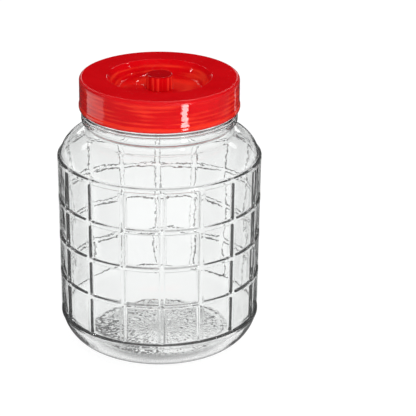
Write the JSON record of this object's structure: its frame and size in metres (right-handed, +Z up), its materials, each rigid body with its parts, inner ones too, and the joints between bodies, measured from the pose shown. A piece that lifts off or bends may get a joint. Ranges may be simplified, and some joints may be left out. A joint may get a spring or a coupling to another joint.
{
  "type": "fermentation jar",
  "caption": "Wide-mouth clear glass fermentation jar with a moulded grid of ribs, a red screw lid with a recessed well, and a pull-out vent plug.",
  "frame": {"origin": "middle of the flat ring that the jar stands on", "axes": "+Z up along the jar's axis, towards the lid; an upright rib lies on each of +X, -X, +Y and -Y, and the picture's view is from -Y"},
  "size_m": [0.215, 0.215, 0.2972],
  "materials": {
    "glass": "clear pressed glass with a fire-polished gloss and slight waviness",
    "lid_plastic": "glossy injection-moulded polypropylene, slightly translucent red",
    "plug_plastic": "glossy injection-moulded red plastic",
    "gasket": "matt, soft off-white sealing ring",
    "grommet": "matt soft dark rubber"
  },
  "bodies": {
    "jar": {"glass_jar": "glass"},
    "gasket": {"lid_gasket": "gasket"},
    "lid": {"screw_lid": "lid_plastic", "vent_grommet": "grommet"},
    "plug": {"vent_plug": "plug_plastic"}
  },
  "joints": [
    {"name": "lid_lift", "type": "slide", "parent": "jar", "child": "gasket", "axis": [0, 0, 1], "range_m": [0, 0.033]},
    {"name": "lid_turn", "type": "hinge", "parent": "gasket", "child": "lid", "pos_m": [0, 0, 0.2928], "axis": [0, 0, 1], "range_deg": [0, 1800]},
    {"name": "plug_pull", "type": "slide", "parent": "lid", "child": "plug", "axis": [0, 0, 1], "range_m": [0, 0.03]}
  ],
  "couplings": [
    {"joint": "lid_lift", "follows": "lid_turn", "m_per_rad": 0.0010345}
  ]
}
